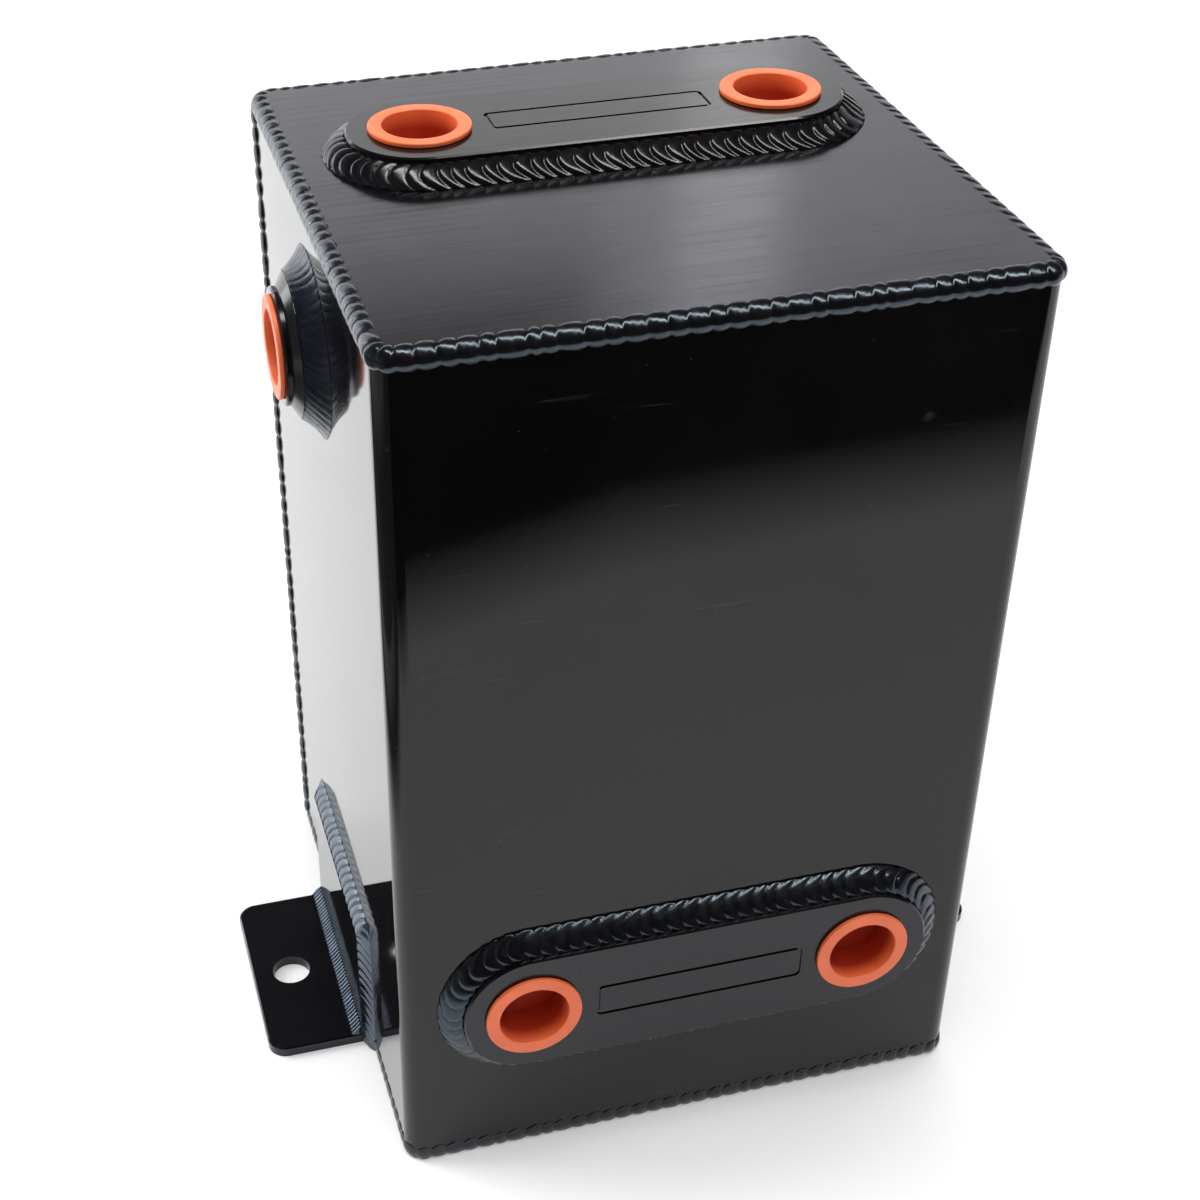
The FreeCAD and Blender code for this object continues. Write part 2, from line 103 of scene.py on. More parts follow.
def arc_points(start, end, bulge, count):
    """Points on the arc from start to end, and their outward normals. Bulge is to the right."""
    chord = end - start
    length = chord.length
    right = Vector((chord.y, -chord.x)) / length
    radius = (length ** 2 / 4 + bulge ** 2) / (2 * bulge)
    centre = (start + end) / 2 + right * (bulge - radius)
    first, last = start - centre, end - centre
    turn = math.atan2(first.x * last.y - first.y * last.x, first.dot(last)) % (2 * math.pi)
    if bulge < 0:
        turn -= 2 * math.pi
    points = []
    for i in range(count + 1):
        angle = turn * i / count
        spoke = Vector((first.x * math.cos(angle) - first.y * math.sin(angle),
                        first.x * math.sin(angle) + first.y * math.cos(angle)))
        points.append((centre + spoke, spoke.normalized() * math.copysign(1, bulge)))
    return points


def ripple(phase, sharpness, lead=0.5):
    """0 at the crest of a ripple and -1 in the sharp valley; lead is where the crest comes."""
    f = phase % 1.0
    away = (lead - f) / lead if f < lead else (f - lead) / (1 - lead)
    return (1 - away ** sharpness) ** 0.5 - 1


class Style:
    """How a bead's face is laid down.

    pitch and depth, in millimetres, are a ripple's. bow and skew, in pitches, curve and slant it
    across the face. wander varies the pitch along the run, fine adds finer ripples of that depth,
    and scallop draws the bead's edges in between ripples. sharpness and lead shape each crest.
    """

    def __init__(self, pitch, depth, bow, skew=0.0, wander=0.25, fine=0.0, scallop=0.15,
                 sharpness=2.2, lead=0.5, seed=0.0):
        self.pitch, self.depth, self.bow, self.skew = pitch, depth, bow, skew
        self.wander, self.fine, self.scallop = wander, fine, scallop
        self.sharpness, self.lead, self.seed = sharpness, lead, seed


def bead(name, stations, face, root, style, length, closed, steps=14):
    """Sweeps a bead along stations of (distance, origin, a, b), all in millimetres.

    face is the visible arc (start, end, bulge) in (a, b), cut into steps, and root the hidden
    corner points from its end back to its start.
    """
    ripples = max(1, round(length / style.pitch))
    arc = arc_points(*face, steps)
    middle = (face[0] + face[1]) / 2
    vertices, faces = [], []
    ring = len(arc) + len(root)
    for distance, origin, a, b in stations:
        share = distance / length
        turn = 2 * math.pi * share
        if closed:
            place = Vector((math.cos(turn), math.sin(turn), 0)) * length / LOOP_WANDER
        else:
            place = Vector((distance / RUN_WANDER, 0, 0))
        seed = Vector((style.seed, 3 * style.seed, 7))
        base = ripples * share + style.wander * noise.noise(place + seed)
        heave = 1 + 0.5 * noise.noise(place * 1.7 + seed * 2)
        for i, (point, normal) in enumerate(arc):
            t = i / steps
            edge = 4 * t * (1 - t)
            phase = base + style.bow * edge + style.skew * t
            shape = ripple(phase, style.sharpness, style.lead)
            drop = style.depth * heave * shape * (0.9 + 0.1 * edge)
            if style.fine:
                drop += style.fine * ripple(FINE_RATIO * phase, FINE_SHARPNESS) * edge
            valley = -ripple(phase, SCALLOP_SHARPNESS)
            pull = (middle - point) * style.scallop * valley * (1 - edge)
            at = point + normal * drop + pull
            vertices.append((origin + a * at.x + b * at.y) * MM)
        for point in root:
            vertices.append((origin + a * point.x + b * point.y) * MM)
    count = len(stations)
    spans = count if closed else count - 1
    for i in range(spans):
        here, there = i * ring, (i + 1) % count * ring
        for j in range(ring):
            k = (j + 1) % ring
            faces.append((here + j, here + k, there + k, there + j))
    if not closed:
        faces.append(tuple(range(ring - 1, -1, -1)))
        faces.append(tuple(range((count - 1) * ring, count * ring)))
    obj = new_object(name, vertices, faces)
    tidy_normals(obj, len(arc) - 1, ring)
    return obj


def tidy_normals(obj, smooth_strips, ring):
    """Faces point outward; only the visible face of the bead is smooth."""
    for i, polygon in enumerate(obj.data.polygons):
        polygon.use_smooth = i % ring < smooth_strips
    work = bmesh.new()
    work.from_mesh(obj.data)
    bmesh.ops.recalc_face_normals(work, faces=work.faces)
    work.to_mesh(obj.data)
    work.free()


def straight(start, end, a, b, step, offset=0.0):
    """Stations along a straight run, the end left out."""
    run = end - start
    count = max(2, round(run.length / step))
    return [(offset + run.length * i / count, start + run * (i / count), a, b)
            for i in range(count)]


def corner(centre, radius, first, second, b, mid_radius, step, offset):
    """Stations round a turn from outward direction first to second, the end left out.

    first and second are at right angles. mid_radius is where the distance is measured.
    """
    arc_length = math.pi / 2 * mid_radius
    count = max(4, round(arc_length / step))
    stations = []
    for i in range(count):
        angle = math.pi / 2 * i / count
        outward = first * math.cos(angle) + second * math.sin(angle)
        stations.append((offset + arc_length * i / count, centre + outward * radius, outward, b))
    return stations


def loop_of(corners, radius, mid_reach, b, step):
    """Stations round a closed path with four quarter turns.

    corners holds (centre, first, second) for each turn in order.
    """
    stations, distance = [], 0.0
    for i, (centre, first, second) in enumerate(corners):
        turn = corner(centre, radius, first, second, b, radius + mid_reach, step, distance)
        stations += turn
        distance += math.pi / 2 * (radius + mid_reach)
        next_centre = corners[(i + 1) % len(corners)][0]
        if (next_centre - centre).length > 1e-6:
            start, end = centre + second * radius, next_centre + second * radius
            stations += straight(start, end, second, b, step, distance)
            distance += (end - start).length
    return stations, distance


def ring_corners(x, y, z, right, up, centre):
    """The four turn centres of a rectangle of half sizes x and y, anticlockwise."""
    def at(sx, sy):
        return centre + right * (sx * x) + up * (sy * y) + z
    return [(at(1, -1), up * -1, right), (at(1, 1), right, up),
            (at(-1, 1), up, right * -1), (at(-1, -1), right * -1, up * -1)]


def seam_bead(name, z, face, root, style, mid_reach):
    x, y = HALF_WIDTH - FOLD_RADIUS, HALF_DEPTH - FOLD_RADIUS
    corners = ring_corners(x, y, Z * z, X, Y, Vector((0, 0, 0)))
    stations, length = loop_of(corners, FOLD_RADIUS, mid_reach, Z, SEAM_STEP)
    return bead(name, stations, face, root, style, length, closed=True)


def plate_bead(name, centre, right, up, out, style):
    leg, height, bulge = 5.8, 4.6, 0.75
    face = (Vector((leg, -SINK)), Vector((-SINK, height)), bulge)
    corners = ring_corners(PORT_PITCH / 2, 0, Vector((0, 0, 0)), right, up, centre)
    stations, length = loop_of(corners, PLATE_RADIUS, leg / 2, out, FILLET_STEP)
    return bead(name, stations, face, FILLET_ROOT, style, length, closed=True, steps=16)


def boss_bead(name, centre, style):
    leg, bulge = 5.7, -0.5
    face = (Vector((leg, -SINK)), Vector((-SINK, BUNG_SHOULDER)), bulge)
    corners = ring_corners(0, 0, Vector((0, 0, 0)), Y * -1, Z, centre)
    stations, length = loop_of(corners, BUNG_RADIUS, leg / 2, X * -1, FILLET_STEP)
    return bead(name, stations, face, FILLET_ROOT, style, length, closed=True, steps=16)


def upright_bead(name, side, style):
    """Up the front edge of an upright, over its top and down its back edge."""
    leg, bulge = 5.0, 0.25
    out, step = X * side, UPRIGHT_STEP
    x = side * HALF_WIDTH
    front, back, top = UPRIGHT_LOW.y, UPRIGHT_HIGH.y, UPRIGHT_HIGH.z
    reach = leg / 2
    stations = straight(Vector((x, front, 0)), Vector((x, front, top)), Y * -1, out, step)
    distance = top
    for centre_y, first, second in ((front, Y * -1, Z), (back, Z, Y)):
        centre = Vector((x, centre_y, top))
        stations += corner(centre, 0.0, first, second, out, reach, step, distance)
        distance += math.pi / 2 * reach
        if centre_y == front:
            stations += straight(centre, Vector((x, back, top)), Z, out, step, distance)
            distance += back - front
    stations += straight(Vector((x, back, top)), Vector((x, back, 0)), Y, out, step, distance)
    distance += top
    stations.append((distance, Vector((x, back, 0)), Y, out))
    face = (Vector((leg, -SINK)), Vector((-SINK, SHEET)), bulge)
    return bead(name, stations, face, FILLET_ROOT, style, distance, closed=False)


def straight_bead(name, start, end, a, b, step, face, root, style, steps=14):
    stations = straight(start, end, a, b, step)
    length = (end - start).length
    stations.append((length, end, a, b))
    return bead(name, stations, face, root, style, length, closed=False, steps=steps)


def foot_bead(name, side, style):
    """Where an upright stands on its foot plate."""
    leg, bulge = 2.8, 0.12
    x = side * -UPRIGHT_LOW.x
    start, end = (Vector((x, at.y, FOOT_TOP)) for at in (UPRIGHT_LOW, UPRIGHT_HIGH))
    face = (Vector((leg, -SINK)), Vector((-SINK, leg)), bulge)
    return straight_bead(name, start, end, X * side, Z, FOOT_STEP, face, FILLET_ROOT, style,
                         steps=10)


def back_bead(name, side, style):
    """The upright bead on a back corner, between the top and bottom seams."""
    reach, bulge = 5.0, 3.4
    x = side * HALF_WIDTH
    start, end = (Vector((x, HALF_DEPTH, at.z)) for at in (BACK_SEAM_LOW, BACK_SEAM_HIGH))
    face = (Vector((0, -reach)), Vector((-reach, 0)), bulge)
    root = [Vector((-EDGE_STEP, 0)), Vector((-EDGE_STEP, -SHEET)), Vector((0, -SHEET))]
    return straight_bead(name, start, end, X * side, Y, SEAM_STEP, face, root, style)


# ---- materials -----------------------------------------------------------------------------

class Nodes:
    """A short way to write a node material that reads the surface in object coordinates."""

    def __init__(self, name):
        self.material = bpy.data.materials.new(name)
        self.material.use_nodes = True
        self.tree = self.material.node_tree
        self.shader = self.tree.nodes["Principled BSDF"]
        self.coordinates = self.tree.nodes.new("ShaderNodeTexCoord").outputs["Object"]

    def set(self, **values):
        for name, value in values.items():
            self.shader.inputs[name.replace("_", " ")].default_value = value

    def link(self, output, name):
        self.tree.links.new(output, self.shader.inputs[name])

    def coordinate(self, axis):
        node = self.tree.nodes.new("ShaderNodeSeparateXYZ")
        self.tree.links.new(self.coordinates, node.inputs["Vector"])
        return node.outputs["XYZ"[axis]]

    def stretched(self, scale, turn=(0, 0, 0)):
        node = self.tree.nodes.new("ShaderNodeMapping")
        node.inputs["Scale"].default_value = scale
        node.inputs["Rotation"].default_value = turn
        self.tree.links.new(self.coordinates, node.inputs["Vector"])
        return node.outputs["Vector"]

    def noise(self, scale, detail=3.0, roughness=0.5, vector=None):
        node = self.tree.nodes.new("ShaderNodeTexNoise")
        node.inputs["Scale"].default_value = scale
        node.inputs["Detail"].default_value = detail
        node.inputs["Roughness"].default_value = roughness
        self.tree.links.new(vector or self.coordinates, node.inputs["Vector"])
        return node.outputs["Fac"]

    def specks(self, scale, size, vector=None):
        """1 on small round specks and 0 elsewhere."""
        node = self.tree.nodes.new("ShaderNodeTexVoronoi")
        node.inputs["Scale"].default_value = scale
        node.inputs["Randomness"].default_value = 1.0
        self.tree.links.new(vector or self.coordinates, node.inputs["Vector"])
        return self.span(node.outputs["Distance"], size, size * 0.6, 0, 1)

    def near(self, place, radius):
        """1 at a place in object coordinates, falling to 0 at the radius."""
        node = self.tree.nodes.new("ShaderNodeVectorMath")
        node.operation = "DISTANCE"
        node.inputs[1].default_value = place
        self.tree.links.new(self.coordinates, node.inputs[0])
        ramp = self.span(node.outputs["Value"], radius, 0, 0, 1)
        return self.math("POWER", ramp, 1.6)

    def span(self, value, from_low, from_high, to_low, to_high):
        node = self.tree.nodes.new("ShaderNodeMapRange")
        for name, number in (("From Min", from_low), ("From Max", from_high),
                             ("To Min", to_low), ("To Max", to_high)):
            node.inputs[name].default_value = number
        self.tree.links.new(value, node.inputs["Value"])
        return node.outputs["Result"]

    def math(self, operation, first, second):
        node = self.tree.nodes.new("ShaderNodeMath")
        node.operation = operation
        for socket, value in zip(node.inputs, (first, second)):
            if isinstance(value, (int, float)):
                socket.default_value = value
            else:
                self.tree.links.new(value, socket)
        return node.outputs["Value"]

    def blend(self, amount, low, high):
        """A colour between low and high; either may be a colour or an output."""
        node = self.tree.nodes.new("ShaderNodeMix")
        node.data_type = "RGBA"
        self.tree.links.new(amount, node.inputs["Factor"])
        for socket, value in (("A", low), ("B", high)):
            target = [s for s in node.inputs if s.name == socket and s.type == "RGBA"][0]
            if isinstance(value, tuple):
                target.default_value = value + (1.0,)
            else:
                self.tree.links.new(value, target)
        return [s for s in node.outputs if s.type == "RGBA"][0]

    def bump(self, layers):
        """Stacks bump layers of (height output, depth in mm)."""
        normal = None
        for height, depth in layers:
            node = self.tree.nodes.new("ShaderNodeBump")
            node.inputs["Strength"].default_value = 1.0
            node.inputs["Distance"].default_value = depth * MM
            self.tree.links.new(height, node.inputs["Height"])
            if normal:
                self.tree.links.new(normal, node.inputs["Normal"])
            normal = node.outputs["Normal"]
        self.link(normal, "Normal")


DENT_X, DENT_DROP, DENT_RADIUS = 46.0, 31.0, 2.6     # one small dent, high on the front


def black_coat(name, tint, roughness, brush_axis, brush, ior, warmth):
    """Thin gloss black coat over brushed sheet, with faint brush lines, dust and hairlines."""
    m = Nodes(name)
    m.set(IOR=ior, Specular_Tint=(warmth, warmth, 1.0, 1.0))
    stretch = [700.0, 700.0, 700.0]
    stretch[brush_axis] = 18.0
    lines = m.noise(1.0, 4.0, 0.6, m.stretched(tuple(stretch)))
    cloud = m.noise(22.0, 4.0)
    dust = m.specks(300.0, 0.035)
    dark, light = tuple(0.7 * c for c in tint), tuple(1.5 * c for c in tint)
    base = m.blend(m.span(cloud, 0.3, 0.7, 0, 1), dark, light)
    hairs = m.noise(1.0, 2.0, 0.5, m.stretched((40.0, 900.0, 700.0), (0.3, 0.5, 0.7)))
    hairs = m.span(hairs, 0.71, 0.78, 0, 1)
    base = m.blend(hairs, base, (0.014, 0.014, 0.015))
    m.link(m.blend(dust, base, (0.16, 0.16, 0.17)), "Base Color")
    rough = m.span(m.noise(55.0, 5.0, 0.6), 0.3, 0.75, roughness * 0.8, roughness * 1.25)
    rough = m.math("ADD", rough, m.span(lines, 0.45, 0.75, 0, brush))
    m.link(m.math("ADD", rough, m.math("MULTIPLY", dust, 0.3)), "Roughness")
    dent = m.near((DENT_X * MM, -HALF_DEPTH * MM, (TANK_TOP - DENT_DROP) * MM), DENT_RADIUS * MM)
    m.bump([(m.noise(14.0, 1.0), 0.10), (m.noise(900.0, 2.0), 0.0012), (lines, 0.06 * brush),
            (hairs, -0.0015), (dent, 0.05)])
    return m.material


def black_weld(name, tint, roughness, grain, ior, warmth):
    """The same coat over weld metal: a bluish sheen and a fine crystalline grain."""
    m = Nodes(name)
    m.set(IOR=ior, Specular_Tint=(warmth, 0.5 + warmth / 2, 1.0, 1.0))
    cloud = m.noise(160.0, 4.0, 0.6)
    warm = (tint[0] * 1.8, tint[1] * 1.2, tint[2] * 1.4)
    m.link(m.blend(m.span(cloud, 0.35, 0.65, 0, 1), tint, warm), "Base Color")
    m.link(m.span(m.noise(420.0, 4.0), 0.3, 0.75, roughness * 0.7, roughness * 1.4), "Roughness")
    m.bump([(m.noise(500.0, 3.0, 0.6), grain), (m.noise(2600.0, 2.0), grain * 0.25)])
    return m.material


def black_billet(name, tint, roughness):
    """Machined and coated bar: fine cutter marks and a few nicks."""
    m = Nodes(name)
    m.set(IOR=1.45, Specular_Tint=(0.92, 0.92, 1.0, 1.0))
    marks = m.noise(1.0, 3.0, 0.6, m.stretched((60.0, 1500.0, 1500.0)))
    cloud = m.noise(40.0, 3.0)
    dark, light = tuple(0.75 * c for c in tint), tuple(1.4 * c for c in tint)
    nick = m.specks(240.0, 0.03)
    base = m.blend(m.span(cloud, 0.3, 0.7, 0, 1), dark, light)
    m.link(m.blend(nick, base, (0.2, 0.2, 0.21)), "Base Color")
    m.link(m.span(marks, 0.3, 0.75, roughness * 0.8, roughness * 1.3), "Roughness")
    m.bump([(m.noise(1200.0, 2.0), 0.0016), (marks, 0.0012)])
    return m.material


def bare_aluminium(name):
    m = Nodes(name)
    m.set(Metallic=1.0)
    lines = m.noise(1.0, 4.0, 0.6, m.stretched((900.0, 900.0, 12.0)))
    cloud = m.span(m.noise(30.0), 0.3, 0.7, 0, 1)
    m.link(m.blend(cloud, (0.60, 0.61, 0.62), (0.76, 0.77, 0.78)), "Base Color")
    m.link(m.span(lines, 0.3, 0.7, 0.28, 0.45), "Roughness")
    m.bump([(lines, 0.003)])
    return m.material


def orange_plastic(name, axis, flange_face, inward):
    """Soft moulded polyethylene: satin, slightly translucent, with painted shade darkening the
    recess.

    axis is the plug's own axis, and inward the sense in which it goes in from flange_face.
    """
    m = Nodes(name)
    m.set(IOR=1.5, Subsurface_Weight=0.12, Subsurface_Scale=0.001,
          Subsurface_Radius=(1.0, 0.3, 0.1))
    cloud = m.span(m.noise(130.0, 4.0), 0.3, 0.7, 0, 1)
    flow = m.noise(1.0, 3.0, 0.6, m.stretched((500.0, 500.0, 500.0)))
    skin = m.blend(cloud, (0.70, 0.125, 0.036), (0.80, 0.155, 0.050))
    # Painted shade: the base colour darkens towards a deep red-brown from 1 mm to 4.5 mm in from
    # the flange face, standing in for the shadow inside the recess.
    start, end = flange_face + inward * 1.0 * MM, flange_face + inward * 4.5 * MM
    depth = m.span(m.coordinate(axis), start, end, 0, 1)
    m.link(m.blend(depth, skin, (0.36, 0.024, 0.006)), "Base Color")
    m.link(m.span(flow, 0.3, 0.75, 0.32, 0.48), "Roughness")
    m.bump([(m.noise(900.0, 3.0), 0.004), (m.noise(90.0, 2.0), 0.02)])
    return m.material


def floor_paper(name):
    m = Nodes(name)
    m.set(Emission_Color=(0.97, 0.98, 1.0, 1.0), Emission_Strength=0.14)
    m.link(m.blend(m.span(m.noise(6.0, 3.0), 0.3, 0.7, 0, 1),
                   (0.76, 0.76, 0.77), (0.80, 0.80, 0.80)), "Base Color")
    m.link(m.span(m.noise(40.0), 0.3, 0.7, 0.5, 0.65), "Roughness")
    return m.material


def paint(obj, material):
    obj.data.materials.clear()
    obj.data.materials.append(material)


def paint_node(node, material):
    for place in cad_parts[node].material_slots:
        place.material = material


BLACK = (0.0022, 0.0022, 0.0025)
BILLET_BLACK = (0.003, 0.003, 0.0033)
WELD_BLACK = (0.003, 0.003, 0.0036)
BOSS_BLUE = (0.003, 0.003, 0.006)
# Base for the upright and foot beads: bluer and twice as bright as the weld black, a painted sheen
# for the pale blue light they reflect.
PAINTED_SHEEN_BLUE = (0.006, 0.006, 0.010)

gloss_walls = black_coat("coat_gloss_walls", BLACK, roughness=0.05, brush_axis=2, brush=0.02,
                         ior=1.40, warmth=1.0)
gloss_top = black_coat("coat_gloss_top", BLACK, roughness=0.14, brush_axis=0, brush=0.08,
                       ior=1.52, warmth=0.80)
billet = black_billet("coat_billet", BILLET_BLACK, roughness=0.16)
weld_coat = black_weld("coat_weld", WELD_BLACK, roughness=0.18, grain=0.005, ior=1.5, warmth=0.80)
seam_coat = black_weld("coat_weld_seam", WELD_BLACK, roughness=0.22, grain=0.012, ior=1.6,
                       warmth=0.60)
boss_coat = black_weld("coat_weld_boss", BOSS_BLUE, roughness=0.27, grain=0.004, ior=1.45,
                       warmth=0.50)
# The upright and foot beads are the same black weld coat. This bluer base and the IOR of 2.1 are
# painted sheen that makes them look pale blue from the bright light they reflect.
painted_sheen_weld_coat = black_weld("coat_weld_painted_sheen", PAINTED_SHEEN_BLUE, roughness=0.16, grain=0.010, ior=2.1,
                            warmth=0.62)
painted_sheen_foot_coat = black_weld("coat_weld_foot_painted_sheen", PAINTED_SHEEN_BLUE, roughness=0.12, grain=0.03, ior=2.1,
                            warmth=0.5)
bare = bare_aluminium("aluminium_bare")

for node in ("body_wrap", "back_panel", "left_upright", "right_upright"):
    paint_node(node, gloss_walls)
for node in ("top_plate", "bottom_plate", "left_foot_plate", "right_foot_plate"):
    paint_node(node, gloss_top)
for node in ("top_port_plate", "front_port_plate", "side_port_bung"):
    paint_node(node, billet)
for node in ("baffle_plate", "return_tube", "weld_baffle", "weld_return_tube"):
    paint_node(node, bare)
for name, axis, inward in (("cap_top", 2, -1), ("cap_front", 1, 1), ("cap_side", 0, 1)):
    nodes = [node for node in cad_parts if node.startswith(name)]
    flange_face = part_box(nodes[0])[inward < 0][axis]
    orange = orange_plastic("plastic_orange" + name[3:], axis, flange_face, inward)
    for node in nodes:
        paint_node(node, orange)


# ---- the rippled beads ---------------------------------------------------------------------

def place_bead(obj, node, material):
    paint(obj, material)
    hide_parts(node)
    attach(obj, "tank")


TOP_CENTRE = Vector((0, (TOP_PLATE_LOW.y + TOP_PLATE_HIGH.y) / 2, TANK_TOP))
FRONT_CENTRE = Vector((0, -HALF_DEPTH, (FRONT_PLATE_LOW.z + FRONT_PLATE_HIGH.z) / 2))
SIDE_CENTRE = Vector((-HALF_WIDTH, 0, (BUNG_LOW.z + BUNG_HIGH.z) / 2))

# A seam's face runs from the wall over the corner to the plate that closes it.
seam_face = (Vector((0, -5.0)), Vector((-3.2, 0)), 2.57)
seam_root = [Vector((-EDGE_STEP, 0)), Vector((-EDGE_STEP, -SHEET)), Vector((0, -SHEET))]
seam_style = Style(pitch=4.4, depth=0.32, bow=0.2, wander=0.5, fine=0.05, scallop=0.14,
                   sharpness=1.7, lead=0.35, seed=1.3)
top_seam = seam_bead("bead_top_seam", TANK_TOP, seam_face, seam_root, seam_style,
                     mid_reach=1.0)
place_bead(top_seam, "weld_top_seam", seam_coat)

low_face = (Vector((-0.3, 0)), Vector((0, 5.0)), 0.7)
low_root = [Vector((0, SHEET)), Vector((-EDGE_STEP, SHEET)), Vector((-EDGE_STEP, 0))]
low_style = Style(pitch=4.2, depth=0.5, bow=0.2, wander=0.5, fine=0.08, scallop=0.2, seed=4.1)
bottom_seam = seam_bead("bead_bottom_seam", 0.0, low_face, low_root, low_style, mid_reach=0.5)
place_bead(bottom_seam, "weld_bottom_seam", weld_coat)

top_style = Style(pitch=3.65, depth=0.56, bow=0.85, skew=0.55, wander=0.35, fine=0.03,
                  scallop=0.1, sharpness=1.6, lead=0.26, seed=2.2)
top_bead = plate_bead("bead_top_port", TOP_CENTRE, X, Y, Z, top_style)
place_bead(top_bead, "weld_top_port", weld_coat)

front_style = Style(pitch=3.65, depth=0.45, bow=-0.85, skew=-0.5, wander=0.35, fine=0.03,
                    scallop=0.1, sharpness=1.6, lead=0.74, seed=6.4)
front_bead = plate_bead("bead_front_port", FRONT_CENTRE, X, Z, Y * -1, front_style)
place_bead(front_bead, "weld_front_port", seam_coat)

boss_style = Style(pitch=2.6, depth=0.17, bow=0.5, skew=-0.9, wander=0.3, fine=0.03,
                   scallop=0.05, seed=8.8)
place_bead(boss_bead("bead_side_port", SIDE_CENTRE, boss_style), "weld_side_port", boss_coat)

for side, name in ((-1, "left"), (1, "right")):
    upright_style = Style(pitch=3.1, depth=0.36, bow=-0.35, skew=-1.0, wander=0.3, fine=0.04,
                          scallop=0.04, sharpness=1.6, lead=0.3, seed=3.0 + side)
    place_bead(upright_bead("bead_" + name + "_upright", side, upright_style),
               "weld_" + name + "_upright", painted_sheen_weld_coat)
    foot_style = Style(pitch=1.25, depth=0.28, bow=0.3, wander=0.4, scallop=0.35,
                       seed=5.0 + side)
    place_bead(foot_bead("bead_" + name + "_foot", side, foot_style),
               "weld_" + name + "_foot", painted_sheen_foot_coat)
    back_style = Style(pitch=5.0, depth=0.5, bow=0.15, wander=0.5, fine=0.04, scallop=0.14,
                       seed=7.0 + side)
    place_bead(back_bead("bead_back_" + name, side, back_style), "weld_back_" + name, weld_coat)


# ---- floor, light and camera ---------------------------------------------------------------

def studio_sweep():
    """A pale floor that curves up into a backdrop behind the tank."""
    front, back, curve, top, half = -3.0, 1.15, 0.45, 1.2, 2.6
    turns = 12
    # The points in front of and under the tank keep the smooth floor flat there.
    profile = [(front, 0.0), (-0.6, 0.0), (0.0, 0.0), (back, 0.0)]
    for i in range(1, turns + 1):
        angle = math.pi / 2 * i / turns
        profile.append((back + curve * math.sin(angle), curve * (1 - math.cos(angle))))
    profile.append((back + curve, top))
    vertices = [(x, y, z) for y, z in profile for x in (-half, half)]
    obj = new_object("studio_sweep", vertices, strip_faces(len(profile)))
    for polygon in obj.data.polygons:
        polygon.use_smooth = True
    paint(obj, floor_paper("floor_paper"))


def strip_faces(count):
    """The faces of a strip whose vertices come in pairs."""
    return [(2 * i, 2 * i + 1, 2 * i + 3, 2 * i + 2) for i in range(count - 1)]


def seen_only(obj, by):
    """Leaves a studio piece in sight of the camera alone, or of glossy reflections alone."""
    obj.visible_camera = by == "camera"
    obj.visible_glossy = by == "glossy"
    obj.visible_diffuse = False
    obj.visible_transmission = False
    obj.visible_shadow = False


def pale_walls():
    """Pale walls to the front and sides, which only the camera sees, for the other views."""
    side, front, back, top = 1.9, -1.5, 1.6, 2.4
    plan = [(-side, back), (-side, front), (side, front), (side, back)]
    vertices = [(x, y, z) for x, y in plan for z in (0.0, top)]
    obj = new_object("pale_walls", vertices, strip_faces(len(plan)))
    m = Nodes("wall_paper")
    m.set(Emission_Color=(0.86, 0.87, 0.88, 1.0), Emission_Strength=1.0)
    m.link(m.blend(m.noise(4.0), (0.02, 0.02, 0.02), (0.03, 0.03, 0.03)), "Base Color")
    paint(obj, m.material)
    seen_only(obj, "camera")


def glossy_card(name, start, end, low, high, fade, level):
    """A standing card that only reflections see, as in a photo studio.

    start and end are its ends on plan. It fades in over a height of fade from its lower edge.
    """
    obj = new_object(name, [(x, y, z) for z in (low, high) for x, y in (start, end)],
                     [(0, 1, 3, 2)])
    material = bpy.data.materials.new(name)
    material.use_nodes = True
    tree = material.node_tree
    tree.nodes.remove(tree.nodes["Principled BSDF"])
    glow = tree.nodes.new("ShaderNodeEmission")
    glow.inputs["Color"].default_value = (level, level, level, 1)
    clear = tree.nodes.new("ShaderNodeBsdfTransparent")
    height = tree.nodes.new("ShaderNodeSeparateXYZ")
    rise = tree.nodes.new("ShaderNodeMapRange")
    rise.inputs["From Min"].default_value = low
    rise.inputs["From Max"].default_value = low + fade
    soft = tree.nodes.new("ShaderNodeMixShader")
    place = tree.nodes.new("ShaderNodeTexCoord").outputs["Object"]
    tree.links.new(place, height.inputs["Vector"])
    tree.links.new(height.outputs["Z"], rise.inputs["Value"])
    tree.links.new(rise.outputs["Result"], soft.inputs["Fac"])
    tree.links.new(clear.outputs["BSDF"], soft.inputs[1])
    tree.links.new(glow.outputs["Emission"], soft.inputs[2])
    tree.links.new(soft.outputs["Shader"], tree.nodes["Material Output"].inputs["Surface"])
    paint(obj, material)
    seen_only(obj, "glossy")


def area_light(name, place, target, width, height, power, colour=(1.0, 1.0, 1.0)):
    light = bpy.data.lights.new(name, "AREA")
    light.shape = "RECTANGLE"
    light.size, light.size_y = width, height
    light.energy = power
    light.color = colour
    obj = bpy.data.objects.new(name, light)
    bpy.context.scene.collection.objects.link(obj)
    obj.location = place
    obj.rotation_euler = (Vector(target) - Vector(place)).to_track_quat("-Z", "Y").to_euler()
    return obj


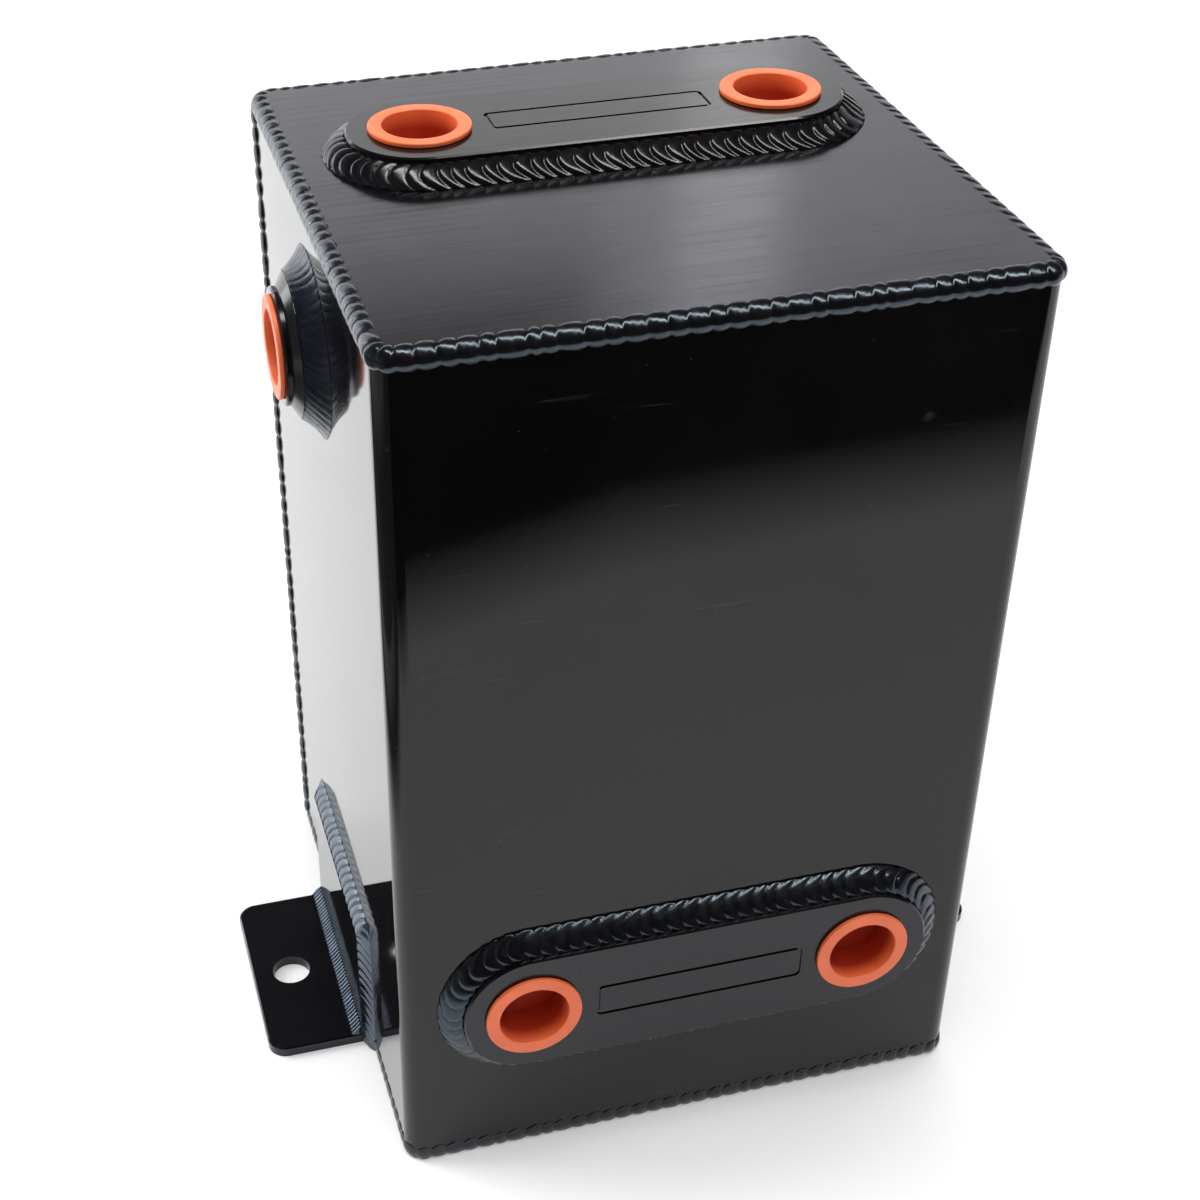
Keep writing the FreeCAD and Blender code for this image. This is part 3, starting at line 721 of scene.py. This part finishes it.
def studio_world():
    """Soft light from above and behind, fading to a dim room in front of the tank."""
    world = bpy.data.worlds.new("studio")
    world.use_nodes = True
    tree = world.node_tree
    background = tree.nodes["Background"]
    background.inputs["Color"].default_value = (0.95, 0.97, 1.0, 1)
    direction = tree.nodes.new("ShaderNodeTexCoord").outputs["Generated"]
    towards = tree.nodes.new("ShaderNodeVectorMath")
    towards.operation = "DOT_PRODUCT"
    towards.inputs[1].default_value = (0.0, 0.7, -0.7)
    ramp = tree.nodes.new("ShaderNodeMapRange")
    for name, number in (("From Min", -0.3), ("From Max", 0.5), ("To Min", 0.03), ("To Max", 0.6)):
        ramp.inputs[name].default_value = number
    tree.links.new(direction, towards.inputs[0])
    tree.links.new(towards.outputs["Value"], ramp.inputs["Value"])
    tree.links.new(ramp.outputs["Result"], background.inputs["Strength"])
    bpy.context.scene.world = world


def photo_camera():
    data = bpy.data.cameras.new("camera")
    data.lens = 62.82
    data.sensor_width = 36.0
    data.shift_x, data.shift_y = 0.0836, 0.0086
    camera = bpy.data.objects.new("camera", data)
    bpy.context.scene.collection.objects.link(camera)
    camera.location = (-0.14263, -0.42907, 0.42905)
    camera.rotation_euler = [math.radians(angle) for angle in (54.950, 0.338, -14.852)]
    bpy.context.scene.camera = camera


studio_sweep()
pale_walls()

# The dark cards are what the front and the top mirror where they are black.
glossy_card("dark_card_front_left", start=(-0.8, -0.047), end=(0.06, -0.318), low=0.0, high=0.5,
            fade=0.04, level=0.02)
glossy_card("dark_card_front_right", start=(0.06, -0.318), end=(0.8, -0.36), low=0.0, high=0.5,
            fade=0.04, level=0.02)
glossy_card("dark_card_left", start=(-0.19, -0.25), end=(-0.19, 0.09), low=0.0, high=0.36,
            fade=0.04, level=0.15)
glossy_card("dark_card_back", start=(-0.4, 1.4), end=(0.44, 1.4), low=0.90, high=1.6,
            fade=0.15, level=0.10)

# The bright ones give the top its streak and pick out the ripples on the left.
glossy_card("bright_card_back", start=(0.54, 1.45), end=(0.65, 1.45), low=0.6, high=1.3,
            fade=0.2, level=2.2)
for number, height in enumerate((0.05, 0.14, 0.23)):
    glossy_card("bright_card_boss_%d" % number, start=(-0.188, -0.15), end=(-0.188, 0.05),
                low=height, high=height + 0.03, fade=0.02, level=0.5)
glossy_card("bright_card_left", start=(-1.45, 1.3), end=(-0.98, 1.3), low=0.0, high=0.4,
            fade=0.05, level=4.6)
glossy_card("bright_card_seam", start=(-0.95, 1.3), end=(-0.88, 1.3), low=0.2, high=0.9,
            fade=0.1, level=9.0)

# The wide lights are soft and stay out of the reflections. The strip is seen only in them.
for light in (area_light("front_top", place=(0.2, -0.9, 2.0), target=(0, -0.1, 0), width=3.2,
                         height=3.0, power=57),
              area_light("back_top", place=(0.2, 0.6, 2.1), target=(0, 0.9, 0.3), width=2.4,
                         height=1.6, power=34),
              area_light("back_left", place=(-1.5, 0.9, 1.2), target=(0, 0.1, 0.1), width=1.2,
                         height=1.2, power=36)):
    light.visible_glossy = False
strip = area_light("glint_strip", place=(0.47, -0.5, 1.65), target=(0.05, -0.1, 0.24), width=0.30,
                   height=2.6, power=34, colour=(1.0, 0.92, 0.82))
strip.visible_diffuse = False

studio_world()
bpy.context.scene.view_settings.view_transform = "Standard"
photo_camera()
